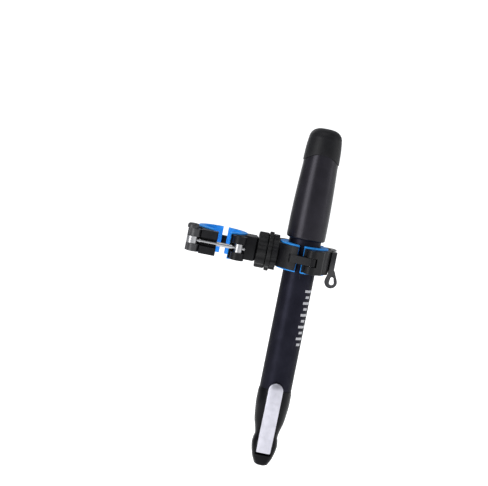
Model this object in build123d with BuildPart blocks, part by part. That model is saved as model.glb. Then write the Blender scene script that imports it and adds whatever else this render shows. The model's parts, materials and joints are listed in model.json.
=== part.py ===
"""Mini bicycle pump in its double quick-release bracket.

The frame's origin is the centre of the seat-post clamp. +Z runs up along the seat post and the
pump, +X runs from the seat post to the pump, and -Y is the side that shows the thumb lever.
"""
import os
from math import hypot

from build123d import *

os.makedirs("parts", exist_ok=True)

# ---------------------------------------------------------------- driving dimensions (mm)
POST_DIAMETER = 27.2          # seat post that the bracket grips
PUMP_OFFSET = 58.5            # seat-post axis to pump axis
BARREL_DIAMETER = 23.0
BARREL_WALL = 1.5
BARREL_TOP = 62.0
ROD_DIAMETER = 8.0
STROKE = 120.0                # travel of the handle; the barrel's length follows from it
CLAMP_HEIGHT = 17.0
LINER_THICKNESS = 1.9
SHELL_WALL = 4.5

# ---------------------------------------------------------------- named clearances (mm)
RUNNING = 0.1                 # radial gap of a pin or a shaft in its bore
SLIDING = 0.05                # radial gap of a close sliding or pressed fit
SIDE = 0.3                    # gap between faces that move past each other
FACE = 0.2                    # gap between flat faces that turn on each other
GRIP_RELEASE = 0.3            # gap between the gate's liner and the barrel
CAM_GAP = 0.1                 # gap between a closed cam and the fork that it presses
SLEEVE_GAP = 0.3              # gap between the barrel and the handle's bore
TONGUE_GAP = 0.5
PLUNGER_GAP = 0.45            # plunger behind the closed cam
SWING_GAP = 0.5               # room round the bolt's end as it swings

# ---------------------------------------------------------------- clamp proportions (mm)
SHELL_INNER = POST_DIAMETER / 2 + LINER_THICKNESS
SHELL_OUTER = SHELL_INNER + SHELL_WALL
HALF_HEIGHT = CLAMP_HEIGHT / 2
LIP_THICKNESS = 1.0           # liner lips on the two rims of a clamp
LIP_OUTER = SHELL_INNER + 2.0
ROOT_OVERLAP = 1.0            # how far a feature is sunk into its parent before the bore is cut
BODY_EDGE_BOLT_SIDE = 6.2     # local x of the body's shell edges
BODY_EDGE_HINGE_SIDE = 4.2
GATE_EDGE_BOLT_SIDE = -7.2    # local x of the gate's shell edges
GATE_EDGE_HINGE_SIDE = -0.4
LINER_PROUD = 0.5             # liner ends stand out past the shell edges
REACH = 60.0                  # a length past every face of a clamp, for cuts and trims

BOLT_Y = -(SHELL_OUTER + 1.5)
NUT_X = 12.6
NUT_RADIUS = 3.0
NUT_HALF_LENGTH = HALF_HEIGHT - 1.0
NUT_BOSS_RADIUS = 4.9
NUT_BOSS_ROOT = (10.9, BOLT_Y + 5.4)
NUT_BOSS_ROOT_RADIUS = 3.8
ROD_RADIUS = 1.5
ROD_STUB = 4.6                # rod end past the barrel nut
FORK_HALF_GAP = 3.1           # half of the slot that the rod lies in
CAM_PIN_X = -(SHELL_OUTER + 0.6)
CAM_PIN_RADIUS = 2.0
CAM_RADIUS = 4.3
CAM_THROW = 1.3
EYE_RADIUS = 3.9
EYE_HALF_HEIGHT = 2.4
TINE_START = CAM_PIN_X + 4.6  # local x limits of the fork's tines
TINE_END = -3.0
TINE_DEPTH = 7.4
TINE_ROOT_END = -7.3
TINE_ROOT_DEPTH = 7.0
LEVER_HALF_HEIGHT = HALF_HEIGHT - 0.5
LEVER_INNER = SHELL_OUTER + 0.9
LEVER_THICKNESS = 3.4
LEVER_FAR_EDGE = 4.0          # local y limits of the lever's arm
LEVER_NEAR_EDGE = -11.0
NECK_RADIUS = 2.2
THUMB_REST_RADIUS = 4.1
THUMB_REST_HEIGHT = 3.4
LOOP_RADIUS = 4.5
LOOP_THICKNESS = 3.0

HINGE_X = -6.5
HINGE_Y = SHELL_OUTER + 1.4
HINGE_PIN_RADIUS = 1.5
KNUCKLE_RADIUS = 4.0
KNUCKLE_ROOT = (HINGE_X - 5.0, HINGE_Y - 4.2)
KNUCKLE_ROOT_RADIUS = 3.5
TONGUE_RADIUS = 3.2
TONGUE_HALF_HEIGHT = 2.75
TONGUE_ROOT = (7.5, HINGE_Y - 3.2)
TONGUE_ROOT_RADIUS = 2.4

# ---------------------------------------------------------------- swivel proportions (mm)
SWIVEL_SPACE = PUMP_OFFSET - 2 * SHELL_OUTER      # between the two clamps' shells
BLOCK_END = SHELL_OUTER + 0.3 * SWIVEL_SPACE      # x where the post clamp's block ends
BLOCK_HALF_WIDTH = 9.5
BLOCK_CHAMFER = 1.0
BOSS_RADIUS = 8.0
KNOB_START = BLOCK_END + FACE
KNOB_END = SHELL_OUTER + 0.7 * SWIVEL_SPACE
DETENT_END = SHELL_OUTER + 0.88 * SWIVEL_SPACE
DISC_START = DETENT_END + FACE
DISC_END = PUMP_OFFSET - SHELL_OUTER + 2.0
LOBES = 9                     # lobes on each hand knob
FLANGE_RADIUS = 14.2          # the middle layer is the largest
KNOB_RADIUS = 13.0
DISC_RADIUS = 12.8
SCALLOP_RADIUS = 3.0
SCALLOP_DEPTH = 1.1
SWIVEL_BOLT_RADIUS = 2.5
SWIVEL_HEAD_RADIUS = 4.3
SWIVEL_HEAD_SEAT = DISC_END - 0.8
SWIVEL_HEAD_HEIGHT = 2.8
SWIVEL_SOCKET_FLATS = 4.0
SWIVEL_SOCKET_DEPTH = 1.8
NUT_POCKET_DEPTH = 6.0        # from the shell's inner face to the spring washer's seat
SWIVEL_NUT_FLATS = 8.0
SWIVEL_NUT_HEIGHT = 4.0
WASHER_THICKNESS = 1.2

# ---------------------------------------------------------------- pump proportions (mm)
BARREL_RADIUS = BARREL_DIAMETER / 2
BORE_RADIUS = BARREL_RADIUS - BARREL_WALL
PISTON_ROD_RADIUS = ROD_DIAMETER / 2
GUIDE_DEPTH = 12.0            # length of the rod guide inside the barrel
GUIDE_FLANGE = 2.0
WIPER_DEPTH = 1.6             # radial depth and height of the rod wiper
WIPER_HEIGHT = 2.0
PISTON_HEIGHT = 9.0
PISTON_FLOOR = 1.5            # piston below the end of its rod
PISTON_CLEARANCE = 0.4
PISTON_GROOVE_DEPTH = 2.2
STROKE_SPARE = 9.0            # piston to rod guide with the handle pulled right out
PISTON_REST = 8.0             # piston above the barrel's lower end with the handle home
PISTON_BOTTOM = BARREL_TOP - GUIDE_DEPTH - STROKE_SPARE - STROKE - PISTON_HEIGHT
BARREL_BOTTOM = PISTON_BOTTOM - PISTON_REST
SPIGOT_TOP = BARREL_BOTTOM + 5.0
HEAD_RADIUS = BARREL_RADIUS + 0.6
HEAD_BOTTOM = BARREL_BOTTOM - 55.4
BUMPER_THICKNESS = 1.6
BUMPER_RADIUS = 8.0
BUMPER_GAP = 0.4
PLUG_HEIGHT = 14.0
SLEEVE_BORE = BARREL_RADIUS + SLEEVE_GAP
PLUG_RADIUS = SLEEVE_BORE - 0.8
SLEEVE_BOTTOM = HALF_HEIGHT + LIP_THICKNESS + 3.9
SLEEVE_WALL_TOP = BARREL_TOP + 8.0      # where the cap's rim meets the sleeve
HANDLE_TOP = BARREL_TOP + 31.0
BUSH_THICKNESS = 0.9
BUSH_HEIGHT = 6.0
CAP_SEAT_RADIUS = SLEEVE_BORE + 0.1
CAP_ARCH_RADIUS = SLEEVE_BORE + 4.95    # the cap's rim arches up at the front and the back
CAP_ARCH_RISE = 4.9
SCREW_RADIUS = 1.6
SCREW_THREAD = 9.0
SCREW_HEAD_RADIUS = 3.5
SCREW_HEAD_HEIGHT = 2.6

# ---------------------------------------------------------------- valve head proportions (mm)
HOUSING_FRONT = -(BARREL_RADIUS - 1.3)
HOUSING_BACK = BARREL_RADIUS - 0.5
HOUSING_ROUNDING = 2.0
HOUSING_SIDE = 8.2            # half width where the housing starts
HOUSING_FOOT = 3.4            # half width at the foot
NECK_HALF_WIDTH = 8.4
PIVOT_Y = HOUSING_FRONT + 4.2           # thumb lever's hinge
PIVOT_Z = BARREL_BOTTOM - 40.3
THUMB_CAM_RADIUS = 4.75
THUMB_CAM_THROW = 1.5
THUMB_HALF_WIDTH = 5.25
THUMB_TOP = BARREL_BOTTOM + 5.9
THUMB_THICKNESS = 2.8
LEVER_PIN_RADIUS = 1.5
LEVER_PIN_HALF_LENGTH = 8.0
HUB_ROOM = 0.35               # gap round the turning cam
PORT_Z = BARREL_BOTTOM - 41.5
PORT_RADIUS = 4.0             # opening for the tyre valve
PORT_BORE = 5.6
DUCT_Y = 4.1                  # air duct and check valve, behind the lever's slot
DUCT_RADIUS = 0.9
VALVE_RADIUS = 3.4
SEAL_OFFSET = 1.4             # barrel seal above the barrel's lower end
SEAL_HEIGHT = 2.0
SEAL_DEPTH = 1.6
PLUNGER_LENGTH = 4.0
PLUNGER_TRAVEL = 1.5
CORE_GAP = 0.4
CORE_THICKNESS = 1.2
CORE_HOLE_RADIUS = 1.2
CHUCK_NECK_RADIUS = 6.9
CHUCK_NECK_LENGTH = 3.4
CHUCK_NUT_RADIUS = 8.4
CHUCK_NUT_LENGTH = 6.0
CHUCK_GRIPS = 18
CHUCK_GRIP_RADIUS = 0.9

PUMP = Plane(origin=(PUMP_OFFSET, 0, 0))
PUMP_PROFILE = Plane(origin=(PUMP_OFFSET, 0, 0), x_dir=(1, 0, 0), z_dir=(0, -1, 0))
PUMP_AXIS = Axis((PUMP_OFFSET, 0, 0), (0, 0, 1))


def save(piece, name):
    """Label a finished piece and write it as one STEP file."""
    piece.part.label = name
    export_step(piece.part, f"parts/{name}.step")


def disc(plane, centre, radius, low, high, mode=Mode.ADD):
    """Add (or cut) a cylinder along the plane's normal, from height low to height high."""
    with BuildSketch(plane.offset(low), mode=Mode.PRIVATE) as section:
        with Locations(centre):
            Circle(radius)
    extrude(section.sketch, amount=high - low, mode=mode)


def ring(plane, outer, inner, low, high):
    """Add a ring about the plane's origin, from height low to height high."""
    with BuildSketch(plane.offset(low), mode=Mode.PRIVATE) as section:
        Circle(outer)
        Circle(inner, mode=Mode.SUBTRACT)
    extrude(section.sketch, amount=high - low)


def rounded_bar(plane, first, first_radius, second, second_radius, low, high, mode=Mode.ADD):
    """Add (or cut) a bar whose outline wraps two circles."""
    with BuildSketch(plane.offset(low), mode=Mode.PRIVATE) as section:
        with Locations(first):
            Circle(first_radius)
        with Locations(second):
            Circle(second_radius)
        make_hull()
    extrude(section.sketch, amount=high - low, mode=mode)


def block(plane, left, right, near, far, low, high, mode=Mode.ADD):
    """Add (or cut) a box given by its limits in the plane's own coordinates."""
    with BuildSketch(plane.offset(low), mode=Mode.PRIVATE) as section:
        with Locations(((left + right) / 2, (near + far) / 2)):
            Rectangle(right - left, far - near)
    extrude(section.sketch, amount=high - low, mode=mode)


def keep_arc(plane, side, bolt_edge, hinge_edge):
    """Cut away what lies past a clamp half's two edges; side is +1 for the body, -1 for the gate."""
    far = -side * REACH
    block(plane, *sorted((bolt_edge, far)), -REACH, 0, -REACH, REACH, mode=Mode.SUBTRACT)
    block(plane, *sorted((hinge_edge, far)), 0, REACH, -REACH, REACH, mode=Mode.SUBTRACT)


def liner(plane, bore, side, bolt_edge, hinge_edge):
    """Rubber half-liner with a lip over each rim of its shell."""
    with BuildPart() as rubber:
        ring(plane, SHELL_INNER, bore, -HALF_HEIGHT - LIP_THICKNESS, HALF_HEIGHT + LIP_THICKNESS)
        ring(plane, LIP_OUTER, bore, HALF_HEIGHT, HALF_HEIGHT + LIP_THICKNESS)
        ring(plane, LIP_OUTER, bore, -HALF_HEIGHT - LIP_THICKNESS, -HALF_HEIGHT)
        keep_arc(plane, side, bolt_edge - side * LINER_PROUD, hinge_edge - side * LINER_PROUD)
    return rubber


def clamp_hardware(prefix, plane, gate_bore, hanging_loop):
    """Build and save what both clamps share: gate, gate liner, hinge pin, bolt, nut, cam lever.

    The body's half lies on the plane's +x side, the bolt on -y and the hinge on +y. The bolt
    pivots on the barrel nut, the cam lever on the cam pin and the gate on the hinge pin.
    """
    hinge = (HINGE_X, HINGE_Y)
    nut = (NUT_X, BOLT_Y)
    cam_pin = (CAM_PIN_X, BOLT_Y)
    cam_centre = (CAM_PIN_X + CAM_THROW, BOLT_Y)
    fork_face = NUT_X - CAM_PIN_X - CAM_THROW - CAM_RADIUS - CAM_GAP

    with BuildPart() as gate:
        ring(plane, SHELL_OUTER, SHELL_INNER - ROOT_OVERLAP, -HALF_HEIGHT, HALF_HEIGHT)
        keep_arc(plane, -1, GATE_EDGE_BOLT_SIDE, GATE_EDGE_HINGE_SIDE)
        # hinge knuckle, slotted for the body's tongue
        rounded_bar(plane, hinge, KNUCKLE_RADIUS, KNUCKLE_ROOT, KNUCKLE_ROOT_RADIUS, -HALF_HEIGHT,
                    HALF_HEIGHT)
        rounded_bar(plane, hinge, TONGUE_RADIUS + TONGUE_GAP, TONGUE_ROOT, TONGUE_ROOT_RADIUS + TONGUE_GAP,
                    -TONGUE_HALF_HEIGHT - SIDE, TONGUE_HALF_HEIGHT + SIDE, mode=Mode.SUBTRACT)
        block(plane, HINGE_X - TONGUE_RADIUS - TONGUE_GAP, BODY_EDGE_HINGE_SIDE, HINGE_Y, HINGE_Y + REACH,
              -TONGUE_HALF_HEIGHT - SIDE, TONGUE_HALF_HEIGHT + SIDE, mode=Mode.SUBTRACT)
        disc(plane, hinge, HINGE_PIN_RADIUS, -HALF_HEIGHT, HALF_HEIGHT, mode=Mode.SUBTRACT)
        # bolt fork: two tines whose outer faces curve about the barrel nut
        with BuildSketch(plane.offset(-HALF_HEIGHT)) as tines:
            with Locations(((TINE_START + TINE_END) / 2, BOLT_Y)):
                RectangleRounded(TINE_END - TINE_START, TINE_DEPTH, 1.2)
            with Locations(((TINE_START + TINE_ROOT_END) / 2, BOLT_Y + TINE_ROOT_DEPTH / 2 + 1.0)):
                Rectangle(TINE_ROOT_END - TINE_START, TINE_ROOT_DEPTH)
            with Locations(nut):
                Circle(fork_face, mode=Mode.INTERSECT)
        extrude(amount=CLAMP_HEIGHT)
        block(plane, CAM_PIN_X, 0, BOLT_Y - TINE_DEPTH, BOLT_Y + ROD_RADIUS + SWING_GAP, -FORK_HALF_GAP,
              FORK_HALF_GAP, mode=Mode.SUBTRACT)
        disc(plane, (0, 0), SHELL_INNER, -HALF_HEIGHT, HALF_HEIGHT, mode=Mode.SUBTRACT)
    save(gate, f"{prefix}_clamp_gate")

    gate_liner = liner(plane, gate_bore, -1, GATE_EDGE_BOLT_SIDE, GATE_EDGE_HINGE_SIDE)
    save(gate_liner, f"{prefix}_gate_liner")

    with BuildPart() as hinge_pin:
        disc(plane, hinge, HINGE_PIN_RADIUS, -HALF_HEIGHT, HALF_HEIGHT)
    save(hinge_pin, f"{prefix}_hinge_pin")

    along_rod = Plane(origin=plane.from_local_coords(Vector(NUT_X, BOLT_Y, 0)), x_dir=plane.y_dir,
                      z_dir=plane.x_dir)
    with BuildPart() as bolt:
        disc(along_rod, (0, 0), ROD_RADIUS, CAM_PIN_X - NUT_X, ROD_STUB)
        chamfer(bolt.faces().sort_by(Axis(along_rod.origin, along_rod.z_dir))[-1].edges(), 0.4)
        disc(plane, cam_pin, EYE_RADIUS, -EYE_HALF_HEIGHT, EYE_HALF_HEIGHT)
        disc(plane, cam_pin, CAM_PIN_RADIUS + RUNNING, -EYE_HALF_HEIGHT, EYE_HALF_HEIGHT,
             mode=Mode.SUBTRACT)
    save(bolt, f"{prefix}_swing_bolt")

    with BuildPart() as barrel_nut:
        disc(plane, nut, NUT_RADIUS, -NUT_HALF_LENGTH, NUT_HALF_LENGTH)
        disc(along_rod, (0, 0), ROD_RADIUS, -NUT_RADIUS - 1, NUT_RADIUS + 1, mode=Mode.SUBTRACT)
        chamfer(barrel_nut.edges().filter_by(GeomType.CIRCLE).group_by(Axis.Z)[0], 0.4)
        chamfer(barrel_nut.edges().filter_by(GeomType.CIRCLE).group_by(Axis.Z)[-1], 0.4)
    save(barrel_nut, f"{prefix}_barrel_nut")

    with BuildPart() as lever:
        # arm: a band that follows the gate, trimmed to its side view
        with BuildSketch(plane.offset(-REACH / 2)) as band:
            Circle(LEVER_INNER + LEVER_THICKNESS)
            Circle(LEVER_INNER, mode=Mode.SUBTRACT)
            with Locations((-REACH / 2, (LEVER_NEAR_EDGE + LEVER_FAR_EDGE) / 2)):
                Rectangle(REACH / 2, LEVER_FAR_EDGE - LEVER_NEAR_EDGE, mode=Mode.INTERSECT)
        extrude(amount=REACH)
        side_view = Plane(origin=plane.origin, x_dir=plane.y_dir, z_dir=plane.x_dir)
        with BuildSketch(side_view.offset(-REACH)) as outline:
            with Locations((-9.5, 0)):
                Rectangle(3.0, 2 * LEVER_HALF_HEIGHT - 1.5)
            with Locations((1.0, 0 if hanging_loop else 2.5)):
                Circle(4.0)
            if hanging_loop:
                Rectangle(5.0, 2 * LEVER_HALF_HEIGHT)
            make_hull()
        extrude(amount=REACH, mode=Mode.INTERSECT)
        # neck and the two cam lobes
        rounded_bar(plane, (CAM_PIN_X - 1.7, BOLT_Y + 1.4), NECK_RADIUS, (-LEVER_INNER - 0.3, -9.5),
                    LEVER_THICKNESS / 2 - 0.1, -LEVER_HALF_HEIGHT, LEVER_HALF_HEIGHT)
        disc(plane, cam_centre, CAM_RADIUS, -LEVER_HALF_HEIGHT, LEVER_HALF_HEIGHT)
        eye_room = EYE_HALF_HEIGHT + FACE
        disc(plane, cam_pin, EYE_RADIUS + SIDE, -eye_room, eye_room, mode=Mode.SUBTRACT)
        disc(plane, cam_centre, CAM_RADIUS + SIDE, -eye_room, eye_room, mode=Mode.SUBTRACT)
        disc(plane, cam_pin, CAM_PIN_RADIUS, -LEVER_HALF_HEIGHT, LEVER_HALF_HEIGHT, mode=Mode.SUBTRACT)
        if hanging_loop:
            loop_view = Plane(origin=plane.from_local_coords(Vector(0, 0.2, 0)), x_dir=-plane.x_dir,
                              z_dir=plane.y_dir)
            loop_x = LEVER_INNER + LEVER_THICKNESS / 2 + 0.8
            rounded_bar(loop_view, (loop_x, -HALF_HEIGHT - 4.6), LOOP_RADIUS,
                        (loop_x - 0.4, -HALF_HEIGHT + 2.0), 2.2, 0, LOOP_THICKNESS)
            rounded_bar(loop_view, (loop_x + 0.6, -HALF_HEIGHT - 5.2), 1.7,
                        (loop_x + 0.4, -HALF_HEIGHT - 2.2), 1.2, 0, LOOP_THICKNESS, mode=Mode.SUBTRACT)
        else:
            rest = (CAM_PIN_X - 0.6, BOLT_Y + 0.4)
            disc(plane, rest, THUMB_REST_RADIUS, LEVER_HALF_HEIGHT, LEVER_HALF_HEIGHT + THUMB_REST_HEIGHT)
            fillet(lever.faces().sort_by(Axis.Z)[-1].edges(), THUMB_REST_HEIGHT / 2)
    save(lever, f"{prefix}_cam_lever")

    with BuildPart() as pin:
        disc(plane, cam_pin, CAM_PIN_RADIUS, -LEVER_HALF_HEIGHT, LEVER_HALF_HEIGHT)
        chamfer(pin.edges().filter_by(GeomType.CIRCLE), 0.3)
    save(pin, f"{prefix}_cam_pin")


def body_details(plane):
    """Add the hinge tongue and the nut fork to the clamp body being built."""
    hinge = (HINGE_X, HINGE_Y)
    nut = (NUT_X, BOLT_Y)
    rounded_bar(plane, hinge, TONGUE_RADIUS, TONGUE_ROOT, TONGUE_ROOT_RADIUS, -TONGUE_HALF_HEIGHT,
                TONGUE_HALF_HEIGHT)
    disc(plane, hinge, HINGE_PIN_RADIUS + RUNNING, -HALF_HEIGHT, HALF_HEIGHT, mode=Mode.SUBTRACT)
    rounded_bar(plane, nut, NUT_BOSS_RADIUS, NUT_BOSS_ROOT, NUT_BOSS_ROOT_RADIUS, -HALF_HEIGHT, HALF_HEIGHT)
    swing_room = hypot(ROD_STUB, ROD_RADIUS) + SWING_GAP
    disc(plane, nut, swing_room, -FORK_HALF_GAP, FORK_HALF_GAP, mode=Mode.SUBTRACT)
    disc(plane, nut, NUT_RADIUS + RUNNING, -HALF_HEIGHT, HALF_HEIGHT, mode=Mode.SUBTRACT)


def star(radius):
    """Scalloped outline of a hand knob."""
    Circle(radius)
    with PolarLocations(radius + SCALLOP_RADIUS - SCALLOP_DEPTH, LOBES):
        Circle(SCALLOP_RADIUS, mode=Mode.SUBTRACT)


# ---------------------------------------------------------------- seat-post clamp
POST_CLAMP = Plane.XY
PUMP_CLAMP = Plane(origin=(PUMP_OFFSET, 0, 0), x_dir=(-1, 0, 0), z_dir=(0, 0, 1))
POST_BORE = POST_DIAMETER / 2
WASHER_SEAT = SHELL_INNER + NUT_POCKET_DEPTH

clamp_hardware("post", POST_CLAMP, POST_BORE, hanging_loop=False)
save(liner(POST_CLAMP, POST_BORE, 1, BODY_EDGE_BOLT_SIDE, BODY_EDGE_HINGE_SIDE), "post_body_liner")

with BuildPart() as post_clamp_body:
    ring(POST_CLAMP, SHELL_OUTER, SHELL_INNER - 1, -HALF_HEIGHT, HALF_HEIGHT)
    keep_arc(POST_CLAMP, 1, BODY_EDGE_BOLT_SIDE, BODY_EDGE_HINGE_SIDE)
    body_details(POST_CLAMP)
    with BuildSketch(Plane.YZ.offset(SHELL_INNER - ROOT_OVERLAP)) as shoulder:
        Rectangle(2 * BLOCK_HALF_WIDTH, CLAMP_HEIGHT)
    extrude(amount=BLOCK_END - SHELL_INNER + ROOT_OVERLAP)
    chamfer(post_clamp_body.faces().filter_by(Axis.X).sort_by(Axis.X)[-1].edges(), BLOCK_CHAMFER)
    with BuildSketch(Plane.YZ.offset(BLOCK_END - ROOT_OVERLAP)) as boss:
        Circle(BOSS_RADIUS)
    extrude(amount=DETENT_END - BLOCK_END + ROOT_OVERLAP)
    disc(POST_CLAMP, (0, 0), SHELL_INNER, -HALF_HEIGHT, HALF_HEIGHT, mode=Mode.SUBTRACT)
    with BuildSketch(Plane.YZ.offset(SHELL_INNER - ROOT_OVERLAP)) as nut_pocket:
        RegularPolygon(SWIVEL_NUT_FLATS / 2, 6, major_radius=False)
    extrude(amount=NUT_POCKET_DEPTH + ROOT_OVERLAP, mode=Mode.SUBTRACT)
    with BuildSketch(Plane.YZ.offset(SHELL_INNER - ROOT_OVERLAP)) as shank_hole:
        Circle(SWIVEL_BOLT_RADIUS)
    extrude(amount=DETENT_END, mode=Mode.SUBTRACT)
save(post_clamp_body, "post_clamp_body")

# ---------------------------------------------------------------- swivel between the clamps
with BuildPart() as lock_knob:
    with BuildSketch(Plane.YZ.offset(KNOB_START)) as knob_outline:
        star(KNOB_RADIUS)
        Circle(BOSS_RADIUS + RUNNING, mode=Mode.SUBTRACT)
    extrude(amount=KNOB_END - KNOB_START)
save(lock_knob, "lock_knob")

with BuildPart() as detent_ring:
    with BuildSketch(Plane.YZ.offset(KNOB_END + FACE)) as detent_outline:
        star(FLANGE_RADIUS)
        Circle(BOSS_RADIUS, mode=Mode.SUBTRACT)
    extrude(amount=DETENT_END - KNOB_END - FACE)
save(detent_ring, "detent_ring")

with BuildPart() as swivel_washer:
    with BuildSketch(Plane.YZ.offset(WASHER_SEAT - WASHER_THICKNESS)) as washer_outline:
        Circle(SWIVEL_NUT_FLATS / 2 - RUNNING)
        Circle(SWIVEL_BOLT_RADIUS, mode=Mode.SUBTRACT)
    extrude(amount=WASHER_THICKNESS)
save(swivel_washer, "swivel_washer")

with BuildPart() as swivel_nut:
    with BuildSketch(Plane.YZ.offset(WASHER_SEAT - WASHER_THICKNESS - SWIVEL_NUT_HEIGHT)) as nut_outline:
        RegularPolygon(SWIVEL_NUT_FLATS / 2 - SLIDING, 6, major_radius=False)
        Circle(SWIVEL_BOLT_RADIUS, mode=Mode.SUBTRACT)
    extrude(amount=SWIVEL_NUT_HEIGHT)
save(swivel_nut, "swivel_nut")

with BuildPart() as swivel_bolt:
    with BuildSketch(Plane.YZ.offset(WASHER_SEAT - WASHER_THICKNESS - SWIVEL_NUT_HEIGHT)) as shank:
        Circle(SWIVEL_BOLT_RADIUS)
    extrude(amount=SWIVEL_HEAD_SEAT - WASHER_SEAT + WASHER_THICKNESS + SWIVEL_NUT_HEIGHT)
    with BuildSketch(Plane.YZ.offset(SWIVEL_HEAD_SEAT)) as head:
        Circle(SWIVEL_HEAD_RADIUS)
    extrude(amount=SWIVEL_HEAD_HEIGHT)
    with BuildSketch(Plane.YZ.offset(SWIVEL_HEAD_SEAT + SWIVEL_HEAD_HEIGHT)) as socket:
        RegularPolygon(SWIVEL_SOCKET_FLATS / 2, 6, major_radius=False)
    extrude(amount=-SWIVEL_SOCKET_DEPTH, mode=Mode.SUBTRACT)
save(swivel_bolt, "swivel_bolt")

# ---------------------------------------------------------------- pump clamp
clamp_hardware("pump", PUMP_CLAMP, BARREL_RADIUS + GRIP_RELEASE, hanging_loop=True)
save(liner(PUMP_CLAMP, BARREL_RADIUS, 1, BODY_EDGE_BOLT_SIDE, BODY_EDGE_HINGE_SIDE), "pump_body_liner")

with BuildPart() as pump_clamp_body:
    ring(PUMP_CLAMP, SHELL_OUTER, SHELL_INNER - 1, -HALF_HEIGHT, HALF_HEIGHT)
    keep_arc(PUMP_CLAMP, 1, BODY_EDGE_BOLT_SIDE, BODY_EDGE_HINGE_SIDE)
    body_details(PUMP_CLAMP)
    with BuildSketch(Plane.YZ.offset(DISC_END - ROOT_OVERLAP)) as root_block:
        Rectangle(2 * BLOCK_HALF_WIDTH, CLAMP_HEIGHT)
    extrude(amount=PUMP_OFFSET - SHELL_INNER + 2 * ROOT_OVERLAP - DISC_END)
    with BuildSketch(Plane.YZ.offset(DISC_START)) as disc_outline:
        star(DISC_RADIUS)
    extrude(amount=DISC_END - DISC_START)
    disc(PUMP_CLAMP, (0, 0), SHELL_INNER, -REACH, REACH, mode=Mode.SUBTRACT)
    with BuildSketch(Plane.YZ.offset(SWIVEL_HEAD_SEAT - SLIDING)) as head_recess:
        Circle(SWIVEL_HEAD_RADIUS + SIDE)
    extrude(amount=PUMP_OFFSET - SHELL_INNER - SWIVEL_HEAD_SEAT + ROOT_OVERLAP, mode=Mode.SUBTRACT)
    with BuildSketch(Plane.YZ.offset(DISC_START)) as pivot_hole:
        Circle(SWIVEL_BOLT_RADIUS + RUNNING)
    extrude(amount=DISC_END - DISC_START + ROOT_OVERLAP, mode=Mode.SUBTRACT)
save(pump_clamp_body, "pump_clamp_body")

# ---------------------------------------------------------------- pump barrel and rod guide
with BuildPart() as barrel:
    ring(PUMP, BARREL_RADIUS, BORE_RADIUS, BARREL_BOTTOM, BARREL_TOP)
save(barrel, "barrel")

GUIDE_TOP = BARREL_TOP + GUIDE_FLANGE
WIPER_LOW = GUIDE_TOP - WIPER_HEIGHT - 1.0
WIPER_HIGH = WIPER_LOW + WIPER_HEIGHT
WIPER_RADIUS = PISTON_ROD_RADIUS + WIPER_DEPTH
with BuildPart() as rod_guide:
    ring(PUMP, BORE_RADIUS, PISTON_ROD_RADIUS + RUNNING, BARREL_TOP - GUIDE_DEPTH, BARREL_TOP)
    ring(PUMP, BARREL_RADIUS - RUNNING, PISTON_ROD_RADIUS + RUNNING, BARREL_TOP, GUIDE_TOP)
    disc(PUMP, (0, 0), WIPER_RADIUS, WIPER_LOW, WIPER_HIGH, mode=Mode.SUBTRACT)
save(rod_guide, "rod_guide")

with BuildPart() as rod_wiper:
    ring(PUMP, WIPER_RADIUS, PISTON_ROD_RADIUS + SLIDING, WIPER_LOW, WIPER_HIGH)
save(rod_wiper, "rod_wiper")

# ---------------------------------------------------------------- handle, rod and piston
PLUG_BOTTOM = GUIDE_TOP + BUMPER_GAP + BUMPER_THICKNESS
PLUG_TOP = PLUG_BOTTOM + PLUG_HEIGHT
ROD_TOP = PLUG_TOP - 4.0
SOCKET_TOP = PLUG_TOP + 3.0   # top of the sleeve's socket for the plug
PISTON_TOP = PISTON_BOTTOM + PISTON_HEIGHT
GROOVE_RADIUS = BORE_RADIUS - PISTON_GROOVE_DEPTH

with BuildPart() as piston_rod:
    disc(PUMP, (0, 0), PISTON_ROD_RADIUS, PISTON_BOTTOM + PISTON_FLOOR, ROD_TOP)
    disc(PUMP, (0, 0), SCREW_RADIUS, ROD_TOP - SCREW_THREAD - 1.0, ROD_TOP, mode=Mode.SUBTRACT)
save(piston_rod, "piston_rod")

with BuildPart() as piston_head:
    disc(PUMP, (0, 0), BORE_RADIUS - PISTON_CLEARANCE, PISTON_BOTTOM, PISTON_TOP)
    ring_groove = (PISTON_BOTTOM + 3.0, PISTON_BOTTOM + 5.4)
    with BuildSketch(PUMP.offset(ring_groove[0])) as groove:
        Circle(BORE_RADIUS)
        Circle(GROOVE_RADIUS, mode=Mode.SUBTRACT)
    extrude(amount=ring_groove[1] - ring_groove[0], mode=Mode.SUBTRACT)
    disc(PUMP, (0, 0), PISTON_ROD_RADIUS, PISTON_BOTTOM + PISTON_FLOOR, PISTON_TOP, mode=Mode.SUBTRACT)
save(piston_head, "piston_head")

with BuildPart() as piston_seal:
    ring(PUMP, BORE_RADIUS - SLIDING, GROOVE_RADIUS, *ring_groove)
save(piston_seal, "piston_seal")

with BuildPart() as bumper:
    ring(PUMP, BUMPER_RADIUS, PISTON_ROD_RADIUS, PLUG_BOTTOM - BUMPER_THICKNESS, PLUG_BOTTOM)
save(bumper, "bumper")

with BuildPart() as handle_plug:
    disc(PUMP, (0, 0), PLUG_RADIUS, PLUG_BOTTOM, PLUG_TOP)
    disc(PUMP, (0, 0), PISTON_ROD_RADIUS, PLUG_BOTTOM, ROD_TOP, mode=Mode.SUBTRACT)
    disc(PUMP, (0, 0), SCREW_RADIUS + SIDE, ROD_TOP, PLUG_TOP, mode=Mode.SUBTRACT)
save(handle_plug, "handle_plug")

with BuildPart() as handle_screw:
    disc(PUMP, (0, 0), SCREW_RADIUS, ROD_TOP - SCREW_THREAD, PLUG_TOP)
    disc(PUMP, (0, 0), SCREW_HEAD_RADIUS, PLUG_TOP, PLUG_TOP + SCREW_HEAD_HEIGHT)
    with BuildSketch(PUMP.offset(PLUG_TOP + SCREW_HEAD_HEIGHT)) as screw_socket:
        RegularPolygon(1.5, 6, major_radius=False)
    extrude(amount=-1.6, mode=Mode.SUBTRACT)
save(handle_screw, "handle_screw")

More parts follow.
